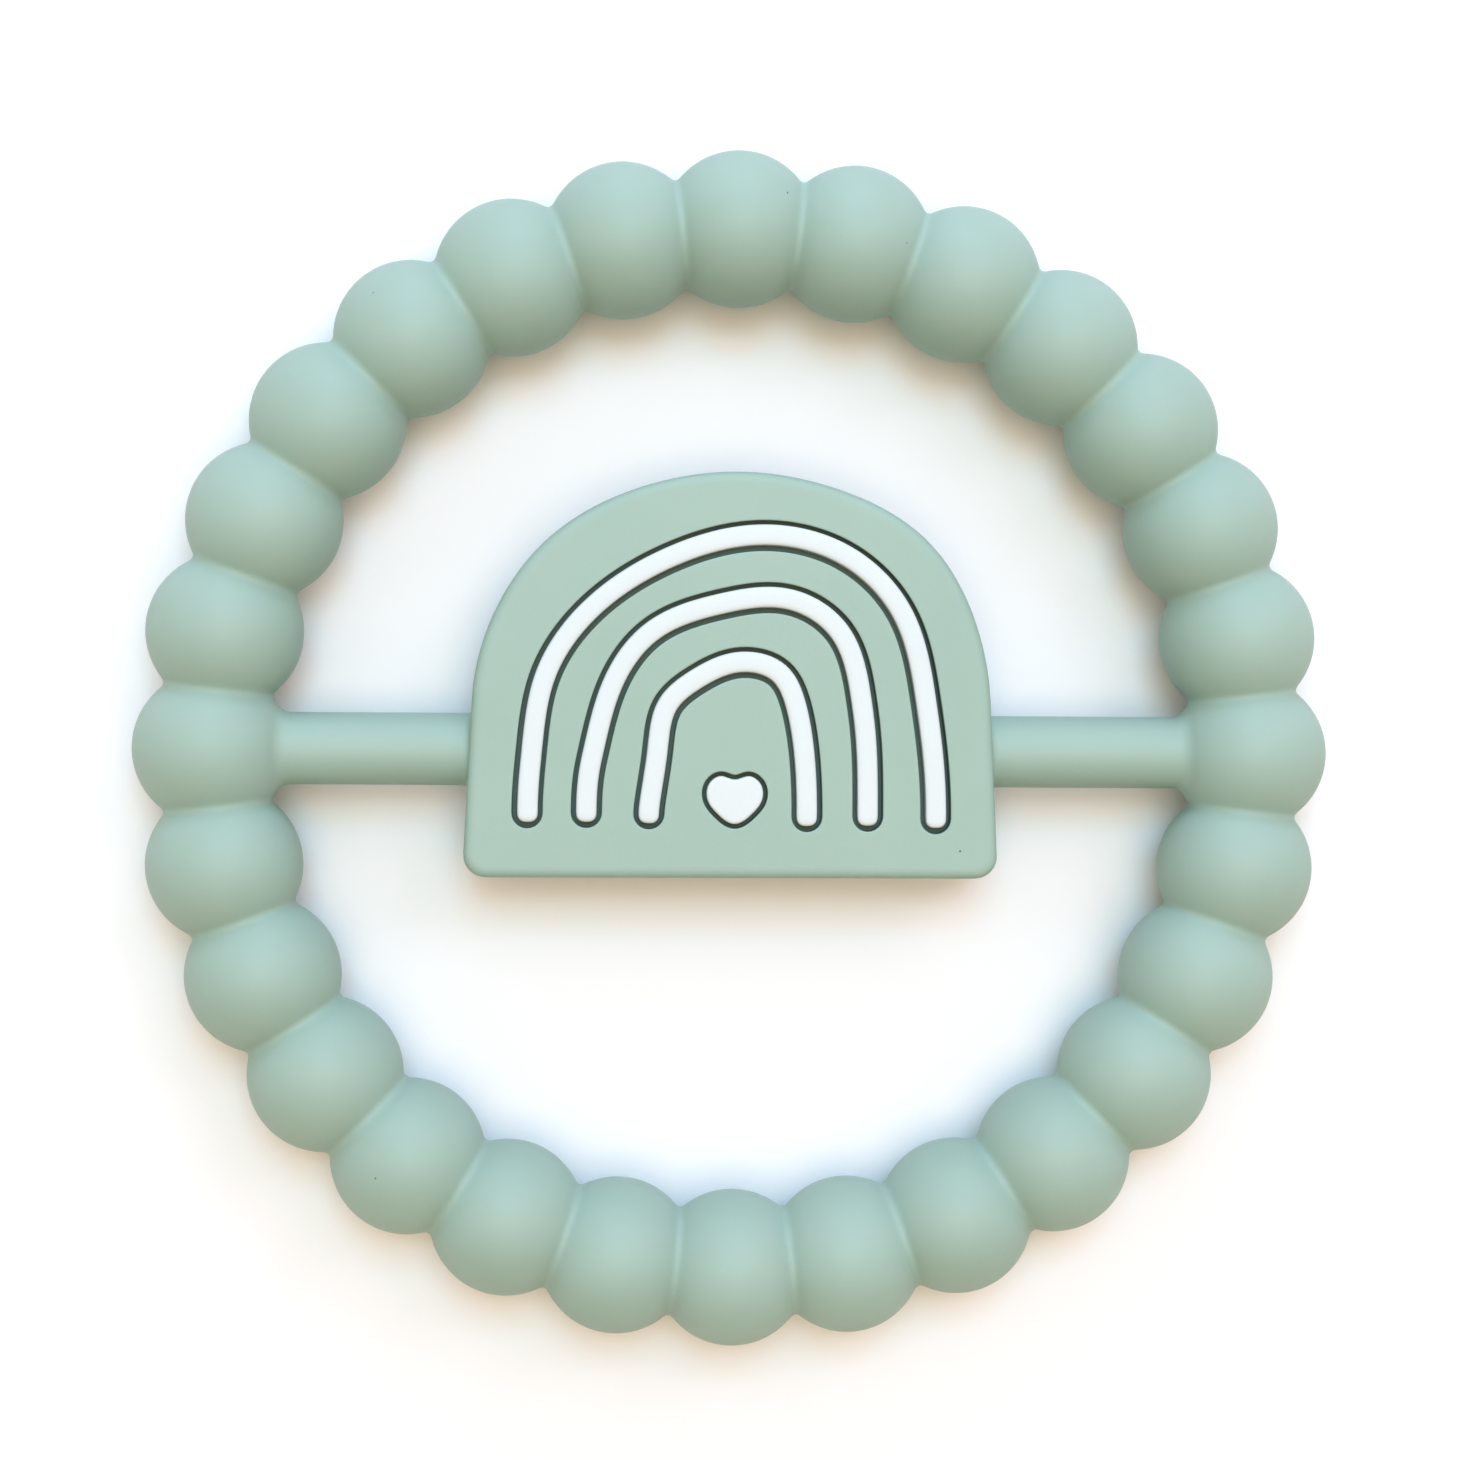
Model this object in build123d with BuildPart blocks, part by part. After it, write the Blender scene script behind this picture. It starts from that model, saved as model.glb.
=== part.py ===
"""Silicone teething ring: a ring of beads, a crossbar and a plaque with a rainbow and a heart.

The ring, crossbar and plaque are one moulding. Four white inlays stand in channels in the
plaque's face. Millimetres. The ring lies flat on z = 0 with its centre on the Z axis, +Z
points out of the decorated face, and +Y points to the top of the rainbow.
"""

from build123d import *
from math import pi, sin, sqrt
import os

# Ring of beads
RING_DIAMETER = 108.0
BEAD_DIAMETER = 14.0
BEAD_COUNT = 28
CREASE_FILLET = 0.6

# Crossbar
BAR_DIAMETER = 6.5
BAR_BEAD_FILLET = 0.7
BAR_PLAQUE_FILLET = 0.4

# Plaque: a flat base, sides that lean in a little, and a crown from shoulder to shoulder
PLAQUE_THICKNESS = 9.0
PLAQUE_EDGE_FILLET = 0.8
PLAQUE_CORNER_RADIUS = 2.0
BASE_LEFT = (-24.45, -11.3)
BASE_RIGHT = (23.5, -11.3)
SHOULDER_RIGHT = (22.7, 4.6)
SHOULDER_LEFT = (-23.65, 4.6)
CROWN_POINTS = [(21.4, 11.4), (16.9, 18.95), (8.95, 23.45), (-0.3, 24.95),
                (-9.2, 23.35), (-17.0, 18.85), (-21.7, 12.3)]

# Channels in the plaque's face: a wide moat, and under it a slot that holds the inlay's foot
CHANNEL_WIDTH = 2.7
CHANNEL_DEPTH = 1.3
INLAY_WIDTH = 1.85
INLAY_HEIGHT = 2.6
INLAY_CROWN = 0.35

# Each arch, as points on its centre line from the left foot over to the right foot
ARCHES = {
    "outer": [(-18.7, -5.5), (-18.35, 0.0), (-17.2, 6.55), (-12.7, 13.0), (-6.25, 17.15),
              (2.05, 19.25), (9.6, 17.4), (14.65, 12.25), (16.75, 4.7), (17.75, -5.9)],
    "middle": [(-13.45, -5.45), (-12.8, 0.2), (-11.25, 5.75), (-7.65, 10.65), (-1.4, 13.15),
               (4.5, 13.55), (9.15, 10.5), (10.95, 5.0), (11.65, -5.7)],
    "inner": [(-7.9, -5.55), (-7.2, -0.3), (-6.15, 4.3), (-3.65, 6.45), (0.3, 7.95),
              (3.55, 7.05), (5.1, 4.3), (6.2, -5.75)],
}
LEG_PULLS = {"outer": 1.1, "middle": 1.5, "inner": 0.5}

# Heart: its right half, from the notch round the lobe to the point, measured from its axis
HEART_X = -0.25
HEART_HALF = [(0, -2.45), (1.22, -2.15), (2.28, -2.8), (2.43, -4.35),
              (1.5, -5.6), (0.68, -6.25), (0, -6.45)]
HEART_MOAT_WIDTH = 0.37
HEART_STEPS = 14

bead_radius = BEAD_DIAMETER / 2
bar_radius = BAR_DIAMETER / 2
pitch_radius = RING_DIAMETER / 2 - bead_radius
mid_z = bead_radius
back_z = mid_z - PLAQUE_THICKNESS / 2
face_z = mid_z + PLAQUE_THICKNESS / 2
inlay_foot_z = face_z - INLAY_HEIGHT
crease_radius = sqrt(bead_radius**2 - (pitch_radius * sin(pi / BEAD_COUNT)) ** 2)


def smooth_line(points, start_direction, end_direction, pull=1.0):
    """A smooth curve through the points; a larger pull keeps its ends straight for longer."""
    return Spline(*points, tangents=[start_direction, end_direction], tangent_scalars=(pull, pull))


centre_lines = {name: smooth_line(ARCHES[name], (0, 1), (0, -1), pull) for name, pull in LEG_PULLS.items()}


def arch_strip(name, width):
    """In the current sketch, a strip with round ends that follows one arch."""
    line = centre_lines[name]
    trace(line, width)
    with Locations(line @ 0, line @ 1):
        Circle(width / 2)


heart_half = smooth_line([(HEART_X + x, y) for x, y in HEART_HALF], (1, 0), (-1, 0))


def heart(margin=0.0):
    """In the current sketch, the heart with a margin all round."""
    stations = [step / HEART_STEPS for step in range(HEART_STEPS + 1)]
    points = [heart_half @ along + (heart_half % along).rotate(Axis.Z, 90) * margin for along in stations]
    with BuildSketch(mode=Mode.PRIVATE) as shape:
        with BuildLine():
            half = smooth_line(points, (1, 0), (-1, 0))
            mirror(half, about=Plane.YZ.offset(HEART_X))
        make_face()
    add(shape.sketch)


def rings_round(builder, radius):
    """Edges one turn long round a radius, from the nearest the centre to the furthest out."""
    one_turn = 2 * pi * radius
    rings = builder.edges().filter_by(lambda edge: abs(edge.length - one_turn) < 0.05)
    return rings.sort_by(lambda edge: edge.center(CenterOf.BOUNDING_BOX).length)


os.makedirs("parts", exist_ok=True)

# The one moulding: plaque, beads and crossbar, then the fillets where they run together
with BuildPart() as ring_body:
    with BuildSketch(Plane.XY.offset(back_z)):
        with BuildLine():
            side_left = Line(SHOULDER_LEFT, BASE_LEFT)
            Line(BASE_LEFT, BASE_RIGHT)
            side_right = Line(BASE_RIGHT, SHOULDER_RIGHT)
            smooth_line([SHOULDER_RIGHT, *CROWN_POINTS, SHOULDER_LEFT], side_right % 1, side_left % 0)
        outline = make_face()
        fillet(outline.vertices().group_by(Axis.Y)[0], PLAQUE_CORNER_RADIUS)
    extrude(amount=PLAQUE_THICKNESS)
    rim = ring_body.edges().group_by(Axis.Z)
    fillet(rim[0] + rim[-1], PLAQUE_EDGE_FILLET)

    with Locations((0, 0, mid_z)):
        with PolarLocations(pitch_radius, BEAD_COUNT):
            Sphere(bead_radius)
        Cylinder(bar_radius, 2 * pitch_radius, rotation=(0, 90, 0))

    fillet(rings_round(ring_body, crease_radius), CREASE_FILLET)
    fillet(rings_round(ring_body, bar_radius)[-2:], BAR_BEAD_FILLET)
    fillet(rings_round(ring_body, bar_radius)[:2], BAR_PLAQUE_FILLET)

    for name in ARCHES:
        with BuildSketch(Plane.XY.offset(face_z)):
            arch_strip(name, CHANNEL_WIDTH)
        extrude(amount=-CHANNEL_DEPTH, mode=Mode.SUBTRACT)
        with BuildSketch(Plane.XY.offset(face_z)):
            arch_strip(name, INLAY_WIDTH)
        extrude(amount=-INLAY_HEIGHT, mode=Mode.SUBTRACT)
    with BuildSketch(Plane.XY.offset(face_z)):
        heart(HEART_MOAT_WIDTH)
    extrude(amount=-CHANNEL_DEPTH, mode=Mode.SUBTRACT)
    with BuildSketch(Plane.XY.offset(face_z)):
        heart()
    extrude(amount=-INLAY_HEIGHT, mode=Mode.SUBTRACT)
ring_body.part.label = "ring_body"
export_step(ring_body.part, "parts/ring_body.step")

# Arch inlays: their feet fill the slots, and their tops are crowned and level with the face
for name in ARCHES:
    with BuildPart() as arch_inlay:
        with BuildSketch(Plane.XY.offset(inlay_foot_z)):
            arch_strip(name, INLAY_WIDTH)
        extrude(amount=INLAY_HEIGHT)
        fillet(arch_inlay.edges().group_by(Axis.Z)[-1], INLAY_CROWN)
    arch_inlay.part.label = f"{name}_arch_inlay"
    export_step(arch_inlay.part, f"parts/{arch_inlay.part.label}.step")

# Heart inlay, made the same way
with BuildPart() as heart_inlay:
    with BuildSketch(Plane.XY.offset(inlay_foot_z)):
        heart()
    extrude(amount=INLAY_HEIGHT)
    fillet(heart_inlay.edges().group_by(Axis.Z)[-1], INLAY_CROWN)
heart_inlay.part.label = "heart_inlay"
export_step(heart_inlay.part, "parts/heart_inlay.step")
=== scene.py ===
"""Looks of the teething ring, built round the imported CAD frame.

The shape code works in millimetres and scales each finished piece to metres. The moulding is one
mesh, laid on a formula for its surface, with the channels cut into it. The inlays are skinned
strips and a skinned heart that stand in those channels.
"""

import bmesh
import bpy
import math
import numpy as np
from mathutils import Euler, Matrix, Vector


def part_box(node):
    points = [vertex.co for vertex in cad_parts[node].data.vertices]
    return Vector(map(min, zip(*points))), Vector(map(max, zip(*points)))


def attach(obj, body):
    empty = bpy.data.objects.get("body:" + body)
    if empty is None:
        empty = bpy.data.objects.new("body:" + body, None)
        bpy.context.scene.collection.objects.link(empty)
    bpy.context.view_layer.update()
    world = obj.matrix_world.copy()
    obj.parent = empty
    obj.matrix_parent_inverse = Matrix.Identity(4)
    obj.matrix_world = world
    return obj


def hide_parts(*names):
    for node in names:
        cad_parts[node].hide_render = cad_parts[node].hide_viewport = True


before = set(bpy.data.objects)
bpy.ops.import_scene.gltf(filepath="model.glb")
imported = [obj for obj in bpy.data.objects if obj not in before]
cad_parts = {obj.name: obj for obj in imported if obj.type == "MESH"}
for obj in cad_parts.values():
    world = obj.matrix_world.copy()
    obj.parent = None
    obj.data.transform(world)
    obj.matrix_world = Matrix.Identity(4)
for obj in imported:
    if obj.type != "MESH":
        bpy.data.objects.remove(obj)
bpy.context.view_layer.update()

MM = 0.001

# Sizes read from the frame, in millimetres
ring_low, ring_high = (np.array(corner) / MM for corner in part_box("ring_body"))
inlay_low, inlay_high = (np.array(corner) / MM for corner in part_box("outer_arch_inlay"))
bead_radius = (ring_high[2] - ring_low[2]) / 2
pitch_radius = (ring_high[0] - ring_low[0]) / 2 - bead_radius
mid_z = (ring_high[2] + ring_low[2]) / 2
face_z = inlay_high[2]
inlay_foot_z = inlay_low[2]

# The moulding, as in the CAD model
BEAD_COUNT = 28
CREASE_FILLET = 0.6
BAR_RADIUS = 3.25
BAR_BEAD_FILLET = 0.7
BAR_PLAQUE_FILLET = 0.4
PLAQUE_EDGE_RADIUS = 0.8
CORNER_RADIUS = 2.0
BASE_LEFT = (-24.45, -11.3)
BASE_RIGHT = (23.5, -11.3)
SHOULDER_RIGHT = (22.7, 4.6)
SHOULDER_LEFT = (-23.65, 4.6)
CROWN_POINTS = [(21.4, 11.4), (16.9, 18.95), (8.95, 23.45), (-0.3, 24.95),
                (-9.2, 23.35), (-17.0, 18.85), (-21.7, 12.3)]

# The moulding's skin: size of its squares, and how it is evened out
VOXEL = 0.36
EVENING_ROUNDS = 4
EVENING_SHARE = 0.6
SLOPE_REACH = 0.01
PLAQUE_NEAR_X = 28
PLAQUE_NEAR_Y = (-16, 29)

# Channels and inlays
CHANNEL_HALF = 2.7 / 2
CHANNEL_DEPTH = 1.3
LIP_RADIUS = 0.16
LIP_DEGREES = 80
LIP_STEPS = 7
CUTTER_RISE = 0.5
INLAY_HALF = 1.85 / 2
CROWN_DROP = 0.35
CROWN_POWER = 3.6
INLAY_END_SQUARENESS = 2.6
INLAY_LEANS = {"outer": (0.05, 0.11), "middle": (0.0, 0.08), "inner": (0.0, 0.08)}
LEG_PULLS = {"outer": 1.1, "middle": 1.5, "inner": 0.5}
ARCHES = {
    "outer": [(-18.7, -5.5), (-18.35, 0.0), (-17.2, 6.55), (-12.7, 13.0), (-6.25, 17.15),
              (2.05, 19.25), (9.6, 17.4), (14.65, 12.25), (16.75, 4.7), (17.75, -5.9)],
    "middle": [(-13.45, -5.45), (-12.8, 0.2), (-11.25, 5.75), (-7.65, 10.65), (-1.4, 13.15),
               (4.5, 13.55), (9.15, 10.5), (10.95, 5.0), (11.65, -5.7)],
    "inner": [(-7.9, -5.55), (-7.2, -0.3), (-6.15, 4.3), (-3.65, 6.45), (0.3, 7.95),
              (3.55, 7.05), (5.1, 4.3), (6.2, -5.75)],
}

# Heart: its right half, from the notch round the lobe to the point, measured from its axis
HEART_X = -0.25
HEART_HALF = [(0, -2.45), (1.22, -2.15), (2.28, -2.8), (2.43, -4.35),
              (1.5, -5.6), (0.68, -6.25), (0, -6.45)]
HEART_MOAT_WIDTH = 0.37
HEART_CROWN_WIDTH = 0.45
HEART_CENTRE = np.array([HEART_X, -4.1])
HEART_REACH = 3.6

# How finely curves are sampled, and how channel faces and sharp edges are told apart
SAMPLES_PER_SPAN = 60
ARCH_SPACING = 0.4
CROWN_SPACING = 0.5
HEART_SPACING = 0.15
CORNER_STEPS = 10
END_CAP_STEPS = 13
INLAY_WALL_LEVELS = 5
INLAY_CROWN_LEVELS = 10
SLOT_MARGIN = 0.1
SHARP_DEGREES = 50

# Silicone: scales of its noises per metre, and how satin and how translucent it is
MOTTLE_SCALE = 70.0
MOTTLE_LOW, MOTTLE_HIGH = 0.3, 0.7
SPECK_SCALE = 150.0
SPECK_SIZE = 0.014
GRAIN_SCALE = 2600.0
SWELL_SCALE = 260.0
SWELL_SHARE = 2.5
BUMP_STRENGTH = 0.25
BUMP_HEIGHT = 0.00004
ROUGHNESS = 0.52
SPECULAR = 0.35
SUBSURFACE_WEIGHT = 0.15
SUBSURFACE_RADIUS = (1.0, 1.0, 0.9)
SUBSURFACE_SCALE = 0.0012

# Studio, in metres and degrees
FLOOR_HALF = 20
FLOOR_COLOUR = (0.9, 0.9, 0.9)
OVERHEAD_DISTANCE = 1.8
OVERHEAD_SIZE = 1.2
WINDOW_DISTANCE = 0.9
WINDOW_SIZE = 0.35
ROOM_COLOUR = (0.80, 0.73, 0.71)
ROOM_DIM_COLOUR = (0.54, 0.45, 0.31)
ROOM_DIMMEST_AT = -0.7
LENS = 68.2
SENSOR = 36.0
CAMERA_PLACE = (-0.0148, 0.0076)
CAMERA_HEIGHT = 0.25
CAMERA_TURN = (-1.34, -3.27, 0.41)


# ---------------------------------------------------------------- curves and outlines

def smooth_line(points, start_slope, end_slope, spacing):
    """Evenly spaced points on a smooth curve through the given ones, with given end slopes."""
    points = np.array(points, float)
    steps = np.linalg.norm(np.diff(points, axis=0), axis=1)
    count = len(points)
    matrix = np.eye(count)
    right = np.zeros((count, 2))
    right[0] = start_slope
    right[-1] = end_slope
    for i in range(1, count - 1):
        before, after = steps[i - 1], steps[i]
        matrix[i, i - 1:i + 2] = after, 2 * (before + after), before
        rise_before = (points[i] - points[i - 1]) * after / before
        rise_after = (points[i + 1] - points[i]) * before / after
        right[i] = 3 * (rise_before + rise_after)
    slopes = np.linalg.solve(matrix, right)
    samples = []
    for i in range(count - 1):
        t = np.linspace(0, 1, SAMPLES_PER_SPAN, endpoint=False)[:, None]
        samples.append((2 * t**3 - 3 * t**2 + 1) * points[i] + (3 * t**2 - 2 * t**3) * points[i + 1]
                       + steps[i] * ((t**3 - 2 * t**2 + t) * slopes[i] + (t**3 - t**2) * slopes[i + 1]))
    dense = np.vstack(samples + [points[-1:]])
    along = np.append(0, np.cumsum(np.linalg.norm(np.diff(dense, axis=0), axis=1)))
    even = np.linspace(0, along[-1], int(round(along[-1] / spacing)) + 1)
    return np.column_stack([np.interp(even, along, dense[:, axis]) for axis in (0, 1)])


def arch_line(name):
    """An arch's centre line, up one leg and down the other."""
    pull = LEG_PULLS[name]
    return smooth_line(ARCHES[name], (0, pull), (0, -pull), ARCH_SPACING)


def unit(vectors):
    return vectors / np.linalg.norm(vectors, axis=-1, keepdims=True)


def arc(centre, radius, start, end, steps):
    """Points on an arc, both ends included, with angles in radians."""
    angles = np.linspace(start, end, steps + 1)
    return np.array(centre) + radius * np.column_stack([np.cos(angles), np.sin(angles)])


def plaque_outline():
    """The plaque's outline, anticlockwise from its lower right corner."""
    left, right = np.array(BASE_LEFT), np.array(BASE_RIGHT)
    up_right = unit(np.array(SHOULDER_RIGHT) - right)
    down_left = unit(left - np.array(SHOULDER_LEFT))
    crown_points = [SHOULDER_RIGHT, *CROWN_POINTS, SHOULDER_LEFT]
    crown = smooth_line(crown_points, up_right, down_left, CROWN_SPACING)
    lean_right = math.atan2(up_right[1], up_right[0])
    lean_left = math.atan2(down_left[1], down_left[0])
    corner_right = rounded_corner(right, -math.pi / 2, lean_right - math.pi / 2)
    corner_left = rounded_corner(left, lean_left - math.pi / 2, -math.pi / 2)
    return np.vstack([corner_right, crown, corner_left])


def rounded_corner(corner, start, end):
    """The arc that rounds an outline's corner; start and end are its outward directions."""
    toward = np.array([math.cos((start + end) / 2), math.sin((start + end) / 2)])
    centre = np.array(corner) - toward * CORNER_RADIUS / math.cos((end - start) / 2)
    return arc(centre, CORNER_RADIUS, start, end, CORNER_STEPS)


def strip_outline(line, half_width, squareness=2.0):
    """A function of margin: once round a strip that follows a line; squareness 2 gives round ends."""
    along = unit(np.gradient(line, axis=0))
    left = np.column_stack([-along[:, 1], along[:, 0]])
    turn = np.linspace(0, math.pi, END_CAP_STEPS)[1:-1, None]
    across = np.sign(np.cos(turn)) * np.abs(np.cos(turn)) ** (2 / squareness)
    beyond = np.sin(turn) ** (2 / squareness)
    end_cap = left[-1] * across + along[-1] * beyond
    start_cap = -left[0] * across - along[0] * beyond
    end_base = np.repeat(line[-1:], len(turn), 0)
    start_base = np.repeat(line[:1], len(turn), 0)
    base = np.vstack([line, end_base, line[::-1], start_base])
    out = np.vstack([left, end_cap, -left[::-1], start_cap])
    return lambda margin: base + out * (half_width + margin)


def heart_outline(margin):
    """Once round the heart with a margin, from its notch down the right side."""
    half = smooth_line(HEART_HALF, (1, 0), (-1, 0), HEART_SPACING)
    outline = np.vstack([half, half[-2:0:-1] * (-1, 1)])
    along = unit(np.roll(outline, -1, axis=0) - np.roll(outline, 1, axis=0))
    outward = np.column_stack([-along[:, 1], along[:, 0]])
    return outline + outward * margin + (HEART_X, 0)


# ---------------------------------------------------------------- meshes

def new_object(name, mesh):
    thing = bpy.data.objects.new(name, mesh)
    bpy.context.scene.collection.objects.link(thing)
    return thing


def finished_mesh(thing):
    """The object's mesh with its modifiers applied; the object itself is removed."""
    scene_state = bpy.context.evaluated_depsgraph_get()
    mesh = bpy.data.meshes.new_from_object(thing.evaluated_get(scene_state))
    bpy.data.objects.remove(thing)
    return mesh


def skin(name, rings):
    """A closed mesh through rings of equally many points; the first and last ring have closed up."""
    count = len(rings[0])
    sketch = bmesh.new()
    levels = [[sketch.verts.new(point) for point in ring] for ring in rings]
    for lower, upper in zip(levels, levels[1:]):
        for i in range(count):
            j = (i + 1) % count
            sketch.faces.new((lower[i], lower[j], upper[j], upper[i]))
    bmesh.ops.remove_doubles(sketch, verts=sketch.verts, dist=0.0005)
    bmesh.ops.recalc_face_normals(sketch, faces=sketch.faces)
    mesh = bpy.data.meshes.new(name)
    sketch.to_mesh(mesh)
    sketch.free()
    return mesh


def ring_at(outline, margin, z):
    points = outline(margin)
    return np.column_stack([points, np.full(len(points), z)])


def closing_rings(outline, half_width, z, centre=None):
    """Rings that close a level: a strip to its centre line, or a heart to its centre."""
    if centre is None:
        return [ring_at(outline, -half_width, z)]
    inner = outline(-half_width)
    return [np.column_stack([centre + (inner - centre) * part, np.full(len(inner), z)])
            for part in (1, 0.66, 0.33, 0)]


# ---------------------------------------------------------------- the moulding

def joined(first, second, radius):
    """Distance to two shapes that run together through a fillet."""
    into_fillet = np.hypot(np.maximum(radius - first, 0), np.maximum(radius - second, 0))
    return np.maximum(radius, np.minimum(first, second)) - into_fillet


def distance_to_outline(points, outline):
    """Signed distance in the plane to a closed outline, negative inside it."""
    nearest = np.full(len(points), 1e9)
    inside = np.zeros(len(points), bool)
    for start, end in zip(outline, np.roll(outline, -1, axis=0)):
        edge = end - start
        offset = points - start
        part = np.clip(offset @ edge / (edge @ edge), 0, 1)
        nearest = np.minimum(nearest, np.sum((offset - part[:, None] * edge) ** 2, axis=1))
        crosses = (start[1] > points[:, 1]) != (end[1] > points[:, 1])
        if abs(edge[1]) > 1e-9:
            inside ^= crosses & (offset[:, 0] < edge[0] * offset[:, 1] / edge[1])
    return np.sqrt(nearest) * np.where(inside, -1, 1)


PLAQUE = plaque_outline()


def moulding_distance(points):
    """Signed distance from the moulding's surface: beads, crossbar and plaque run together."""
    x, y, z = points[:, 0], points[:, 1], points[:, 2] - mid_z
    step = 2 * math.pi / BEAD_COUNT
    nearest_bead = np.round(np.arctan2(y, x) / step)
    distance = None
    for shift in (-1, 0, 1):
        angle = (nearest_bead + shift) * step
        bead = np.sqrt((x - pitch_radius * np.cos(angle)) ** 2
                       + (y - pitch_radius * np.sin(angle)) ** 2 + z**2) - bead_radius
        distance = bead if distance is None else joined(distance, bead, CREASE_FILLET)
    bar = np.sqrt(y**2 + z**2) - BAR_RADIUS
    bar = np.maximum(bar, np.abs(x) - pitch_radius)
    distance = joined(distance, bar, BAR_BEAD_FILLET)
    near = (np.abs(x) < PLAQUE_NEAR_X) & (y > PLAQUE_NEAR_Y[0]) & (y < PLAQUE_NEAR_Y[1])
    across = distance_to_outline(points[near, :2], PLAQUE) + PLAQUE_EDGE_RADIUS
    up = np.abs(z[near]) - (face_z - mid_z) + PLAQUE_EDGE_RADIUS
    plaque = (np.minimum(np.maximum(across, up), 0) - PLAQUE_EDGE_RADIUS
              + np.hypot(np.maximum(across, 0), np.maximum(up, 0)))
    distance[near] = joined(distance[near], plaque, BAR_PLAQUE_FILLET)
    return distance


def lay_on_surface(points, rounds):
    """Moves points onto the moulding's surface, along its slope."""
    for _ in range(rounds):
        distance = moulding_distance(points)
        slope = np.column_stack([
            moulding_distance(points + shift) - moulding_distance(points - shift)
            for shift in np.eye(3) * SLOPE_REACH]) / (2 * SLOPE_REACH)
        points = points - slope * (distance / np.maximum(np.sum(slope**2, axis=1), 0.25))[:, None]
    return points


def rough_moulding():
    """Beads, bar and plaque as loose overlapping solids, remeshed into one skin of even squares."""
    sketch = bmesh.new()
    for i in range(BEAD_COUNT):
        angle = 2 * math.pi * i / BEAD_COUNT
        place = Matrix.Translation((pitch_radius * math.cos(angle), pitch_radius * math.sin(angle), mid_z))
        bmesh.ops.create_icosphere(sketch, subdivisions=4, radius=bead_radius, matrix=place)
    place = Matrix.Translation((0, 0, mid_z)) @ Euler((0, math.pi / 2, 0)).to_matrix().to_4x4()
    bmesh.ops.create_cone(sketch, cap_ends=True, segments=48, radius1=BAR_RADIUS, radius2=BAR_RADIUS,
                          depth=2 * pitch_radius, matrix=place)
    back = [sketch.verts.new((x, y, 2 * mid_z - face_z)) for x, y in PLAQUE]
    front = [sketch.verts.new((x, y, face_z)) for x, y in PLAQUE]
    sketch.faces.new(back[::-1])
    sketch.faces.new(front)
    for i in range(len(PLAQUE)):
        j = (i + 1) % len(PLAQUE)
        sketch.faces.new((back[i], back[j], front[j], front[i]))
    mesh = bpy.data.meshes.new("rough")
    sketch.to_mesh(mesh)
    sketch.free()
    rough = new_object("rough", mesh)
    remesh = rough.modifiers.new("one_skin", "REMESH")
    remesh.mode = "VOXEL"
    remesh.voxel_size = VOXEL
    return finished_mesh(rough)


def moulding_mesh():
    """The moulding's skin, evened out and laid exactly on its surface."""
    mesh = rough_moulding()
    count = len(mesh.vertices)
    points = np.empty(count * 3)
    mesh.vertices.foreach_get("co", points)
    points = lay_on_surface(points.reshape(-1, 3), 4)
    edges = np.empty(len(mesh.edges) * 2, int)
    mesh.edges.foreach_get("vertices", edges)
    first, second = edges.reshape(-1, 2).T
    neighbours = np.bincount(np.append(first, second), minlength=count)
    for _ in range(EVENING_ROUNDS):
        total = np.zeros((count, 3))
        for axis in range(3):
            total[:, axis] = (np.bincount(first, points[second, axis], count)
                              + np.bincount(second, points[first, axis], count))
        average = total / neighbours[:, None]
        points = lay_on_surface(points * (1 - EVENING_SHARE) + EVENING_SHARE * average, 2)
    mesh.vertices.foreach_set("co", points.ravel())
    mesh.update()
    return mesh


def channel_cutter(outline, half_width, moat, centre=None):
    """The hollow of one channel: a slot for the inlay's foot, the moat, and a rounded lip."""
    levels = [(0, inlay_foot_z), (0, face_z - CHANNEL_DEPTH), (moat, face_z - CHANNEL_DEPTH)]
    for turn in np.radians(np.linspace(0, LIP_DEGREES, LIP_STEPS)):
        margin = moat + LIP_RADIUS * (1 - math.cos(turn))
        levels.append((margin, face_z - LIP_RADIUS * (1 - math.sin(turn))))
    levels.append((levels[-1][0], face_z + CUTTER_RISE))
    rings = closing_rings(outline, half_width, inlay_foot_z, centre)[::-1]
    rings += [ring_at(outline, margin, z) for margin, z in levels]
    rings += closing_rings(outline, half_width, face_z + CUTTER_RISE, centre)
    return skin("cutter", rings)


def inlay_mesh(name, outline, half_width, lean, centre=None):
    """An inlay: a wall that leans a little above its slot, and a crowned top level with the face."""
    rings = closing_rings(outline, half_width, inlay_foot_z, centre)[::-1]
    rings.append(ring_at(outline, 0, inlay_foot_z))
    wall = np.linspace(inlay_foot_z, face_z - CROWN_DROP, INLAY_WALL_LEVELS)[1:-1]
    rings += [ring_at(outline, 0, z) for z in wall]
    inward = half_width * (1 - np.cos(np.radians(np.linspace(0, 90, INLAY_CROWN_LEVELS))))
    for inset in inward:
        rest = 1 - inset / half_width
        drop = CROWN_DROP * (1 - (1 - rest**CROWN_POWER) ** (1 / CROWN_POWER))
        rings.append(ring_at(outline, -inset, face_z - drop))
    if centre is not None:
        rings += closing_rings(outline, half_width, face_z, centre)[1:]
    for ring in rings:
        rise = np.maximum(ring[:, 2] - (face_z - CHANNEL_DEPTH), 0) / CHANNEL_DEPTH
        ring[:, :2] += rise[:, None] * lean
    return skin(name, rings)


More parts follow.
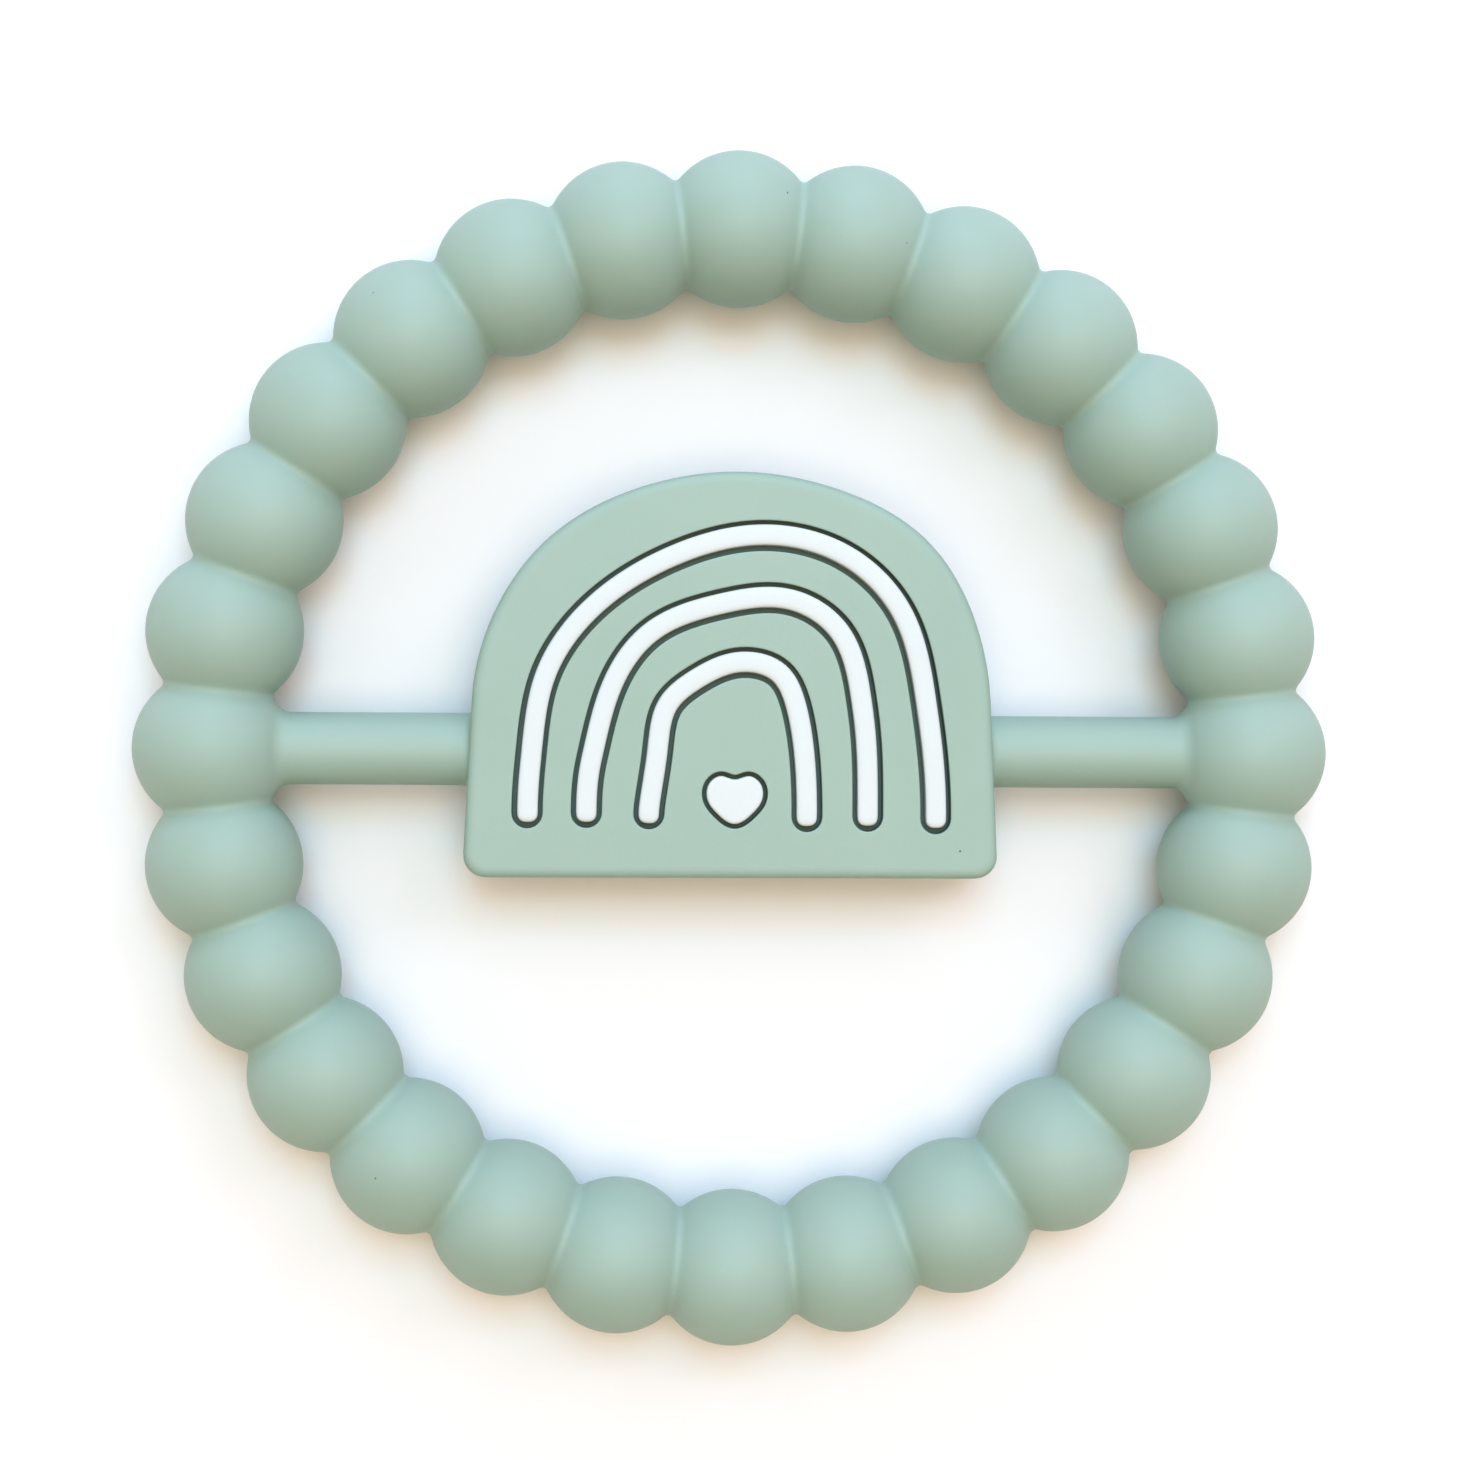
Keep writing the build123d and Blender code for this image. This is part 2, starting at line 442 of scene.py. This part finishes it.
def paint_channel_shade(mesh, material_index):
    """Gives the walls and floors of the channels the dark moat material: painted shade for these deep,
    narrow recesses.
    """
    lines = [arch_line(name) for name in ARCHES]
    for face in mesh.polygons:
        x, y, z = face.center
        if not inlay_foot_z - SLOT_MARGIN < z < face_z - LIP_RADIUS / 3:
            continue
        near_heart = math.hypot(x - HEART_CENTRE[0], y - HEART_CENTRE[1]) < HEART_REACH
        near_line = any(np.min(np.hypot(line[:, 0] - x, line[:, 1] - y)) < CHANNEL_HALF + LIP_RADIUS
                        for line in lines)
        if near_heart or near_line:
            face.material_index = material_index


def to_piece(name, mesh, node, slot_name, *materials):
    """Scales a mesh to metres and makes it the piece that stands for one CAD node."""
    mesh.transform(Matrix.Scale(MM, 4))
    mesh.shade_smooth()
    mesh.set_sharp_from_angle(angle=math.radians(SHARP_DEGREES))
    piece = new_object(name, mesh)
    for material in materials:
        mesh.materials.append(material)
    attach(piece, "root")
    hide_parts(node)
    return piece


# ---------------------------------------------------------------- materials

def new_material(name):
    material = bpy.data.materials.new(name)
    material.use_nodes = True
    nodes = material.node_tree.nodes
    nodes.clear()
    shader = nodes.new("ShaderNodeBsdfPrincipled")
    output = nodes.new("ShaderNodeOutputMaterial")
    material.node_tree.links.new(shader.outputs["BSDF"], output.inputs["Surface"])
    return material, shader


def node(material, kind, **settings):
    """A new node in a material or a world; settings name its inputs, or its own properties."""
    made = material.node_tree.nodes.new(kind)
    for key, value in settings.items():
        if key in made.inputs:
            made.inputs[key].default_value = value
        else:
            setattr(made, key, value)
    return made


def link(material, output, target):
    material.node_tree.links.new(output, target)


def silicone(name, colour, shade, speck_colour=None):
    """Satin moulded silicone: a soft mottle between two near colours, fine mould grain, a few specks."""
    material, shader = new_material(name)
    place = node(material, "ShaderNodeTexCoord").outputs["Object"]
    mottle = node(material, "ShaderNodeTexNoise", Scale=MOTTLE_SCALE, Detail=3.0, Roughness=0.55)
    link(material, place, mottle.inputs["Vector"])
    tint = node(material, "ShaderNodeMix", data_type="RGBA")
    tint.inputs["A"].default_value = (*shade, 1)
    tint.inputs["B"].default_value = (*colour, 1)
    ramp = node(material, "ShaderNodeMapRange")
    ramp.inputs["From Min"].default_value = MOTTLE_LOW
    ramp.inputs["From Max"].default_value = MOTTLE_HIGH
    link(material, mottle.outputs["Fac"], ramp.inputs["Value"])
    link(material, ramp.outputs["Result"], tint.inputs["Factor"])
    colour_out = tint.outputs["Result"]
    if speck_colour:
        cells = node(material, "ShaderNodeTexVoronoi", Scale=SPECK_SCALE)
        link(material, place, cells.inputs["Vector"])
        small = node(material, "ShaderNodeMath", operation="LESS_THAN")
        small.inputs[1].default_value = SPECK_SIZE
        link(material, cells.outputs["Distance"], small.inputs[0])
        specked = node(material, "ShaderNodeMix", data_type="RGBA")
        link(material, colour_out, specked.inputs["A"])
        specked.inputs["B"].default_value = (*speck_colour, 1)
        link(material, small.outputs["Value"], specked.inputs["Factor"])
        colour_out = specked.outputs["Result"]
    link(material, colour_out, shader.inputs["Base Color"])
    grain = node(material, "ShaderNodeTexNoise", Scale=GRAIN_SCALE, Detail=2.0)
    link(material, place, grain.inputs["Vector"])
    swell = node(material, "ShaderNodeTexNoise", Scale=SWELL_SCALE, Detail=2.0)
    link(material, place, swell.inputs["Vector"])
    both = node(material, "ShaderNodeMath", operation="MULTIPLY_ADD")
    link(material, swell.outputs["Fac"], both.inputs[0])
    both.inputs[1].default_value = SWELL_SHARE
    link(material, grain.outputs["Fac"], both.inputs[2])
    bump = node(material, "ShaderNodeBump", Strength=BUMP_STRENGTH, Distance=BUMP_HEIGHT)
    link(material, both.outputs["Value"], bump.inputs["Height"])
    link(material, bump.outputs["Normal"], shader.inputs["Normal"])
    shader.inputs["Roughness"].default_value = ROUGHNESS
    shader.inputs["Specular IOR Level"].default_value = SPECULAR
    shader.inputs["Subsurface Weight"].default_value = SUBSURFACE_WEIGHT
    shader.inputs["Subsurface Radius"].default_value = SUBSURFACE_RADIUS
    shader.inputs["Subsurface Scale"].default_value = SUBSURFACE_SCALE
    return material


sage = silicone("sage_silicone", (0.402, 0.528, 0.462), (0.386, 0.512, 0.446), (0.1, 0.14, 0.12))
# The channels' walls and floors: a dark green that is painted shade, standing for the shadow deep in the
# narrow moats
moat = silicone("moat_painted_shade", (0.17, 0.25, 0.215), (0.15, 0.225, 0.19))
white = silicone("white_silicone", (0.70, 0.76, 0.755), (0.69, 0.75, 0.745))


# ---------------------------------------------------------------- pieces

moulding = new_object("moulding", moulding_mesh())
cutter_meshes = []
for name in ARCHES:
    outline = strip_outline(arch_line(name), INLAY_HALF)
    cutter_meshes.append(channel_cutter(outline, INLAY_HALF, CHANNEL_HALF - INLAY_HALF))
heart_cutter = channel_cutter(heart_outline, HEART_CROWN_WIDTH, HEART_MOAT_WIDTH, HEART_CENTRE)
cutter_meshes.append(heart_cutter)
cutters = [new_object("cutter", mesh) for mesh in cutter_meshes]
for cutter in cutters:
    cut = moulding.modifiers.new("channel", "BOOLEAN")
    cut.operation = "DIFFERENCE"
    cut.solver = "MANIFOLD"
    cut.object = cutter
    cutter.hide_render = True
body_mesh = finished_mesh(moulding)
for cutter in cutters:
    bpy.data.objects.remove(cutter)
body_mesh.materials.clear()
# The channels' walls and floors take the dark moat material, as painted shade
paint_channel_shade(body_mesh, 1)
to_piece("moulded_body", body_mesh, "ring_body", "sage_silicone", sage, moat)

for name, lean in INLAY_LEANS.items():
    outline = strip_outline(arch_line(name), INLAY_HALF, INLAY_END_SQUARENESS)
    mesh = inlay_mesh(f"{name}_arch", outline, INLAY_HALF, lean)
    to_piece(f"{name}_arch", mesh, f"{name}_arch_inlay", "white_silicone", white)
heart = inlay_mesh("heart", heart_outline, HEART_CROWN_WIDTH, (0, 0), HEART_CENTRE)
to_piece("heart", heart, "heart_inlay", "white_silicone", white)


# ---------------------------------------------------------------- floor, light and camera

floor_mesh = bpy.data.meshes.new("floor")
floor_corners = [(x * FLOOR_HALF, y * FLOOR_HALF, 0) for x, y in ((-1, -1), (1, -1), (1, 1), (-1, 1))]
floor_mesh.from_pydata(floor_corners, [], [(0, 1, 2, 3)])
floor = new_object("floor", floor_mesh)
paper, paper_shader = new_material("paper")
paper_shader.inputs["Base Color"].default_value = (*FLOOR_COLOUR, 1)
paper_shader.inputs["Roughness"].default_value = 0.9
paper_shader.inputs["Specular IOR Level"].default_value = 0.1
floor_mesh.materials.append(paper)


def softbox(name, azimuth, elevation, distance, size, colour, power):
    """A square soft light that points at the ring; azimuth in degrees from +X towards +Y."""
    light = bpy.data.lights.new(name, "AREA")
    light.shape = "SQUARE"
    light.size = size
    light.color = colour
    light.energy = power
    lamp = new_object(name, light)
    turn = Euler((0, -math.radians(elevation), math.radians(azimuth)))
    lamp.location = turn.to_matrix() @ Vector((distance, 0, 0))
    lamp.rotation_euler = (-lamp.location).to_track_quat("-Z", "Y").to_euler()


# Cool daylight from the rainbow's side, and a warm box overhead
softbox("overhead", 90, 89.9, OVERHEAD_DISTANCE, OVERHEAD_SIZE, (1.0, 0.72, 0.46), 12.3)
softbox("high_window", 90, 70, WINDOW_DISTANCE, WINDOW_SIZE, (0.25, 0.67, 1.0), 3.0)
softbox("side_window", 45, 50, WINDOW_DISTANCE, WINDOW_SIZE, (0.94, 0.75, 1.0), 0.9)
softbox("low_window", 90, 25, WINDOW_DISTANCE, WINDOW_SIZE, (0.43, 0.63, 1.0), 2.0)

# The room: a little warm, and dimmer and warmer on the side away from the windows
world = bpy.data.worlds.new("studio")
bpy.context.scene.world = world
world.use_nodes = True
direction = node(world, "ShaderNodeTexCoord").outputs["Generated"]
parts = node(world, "ShaderNodeSeparateXYZ")
link(world, direction, parts.inputs["Vector"])
away = node(world, "ShaderNodeMapRange")
away.inputs["From Min"].default_value = 0.0
away.inputs["From Max"].default_value = ROOM_DIMMEST_AT
link(world, parts.outputs["Y"], away.inputs["Value"])
room = node(world, "ShaderNodeMix", data_type="RGBA")
room.inputs["A"].default_value = (*ROOM_COLOUR, 1)
room.inputs["B"].default_value = (*ROOM_DIM_COLOUR, 1)
link(world, away.outputs["Result"], room.inputs["Factor"])
link(world, room.outputs["Result"], world.node_tree.nodes["Background"].inputs["Color"])
world.node_tree.nodes["Background"].inputs["Strength"].default_value = 1.0

# The camera looks down from close above, from a little to the left of the ring's centre
camera_data = bpy.data.cameras.new("camera")
camera_data.lens = LENS
camera_data.sensor_width = SENSOR
camera = new_object("camera", camera_data)
camera.location = (*CAMERA_PLACE, mid_z * MM + CAMERA_HEIGHT)
camera.rotation_euler = [math.radians(turn) for turn in CAMERA_TURN]
camera_data.clip_start = 0.02
camera_data.clip_end = 100
bpy.context.scene.camera = camera
bpy.context.scene.view_settings.view_transform = "Standard"
bpy.context.scene.view_settings.gamma = 0.8
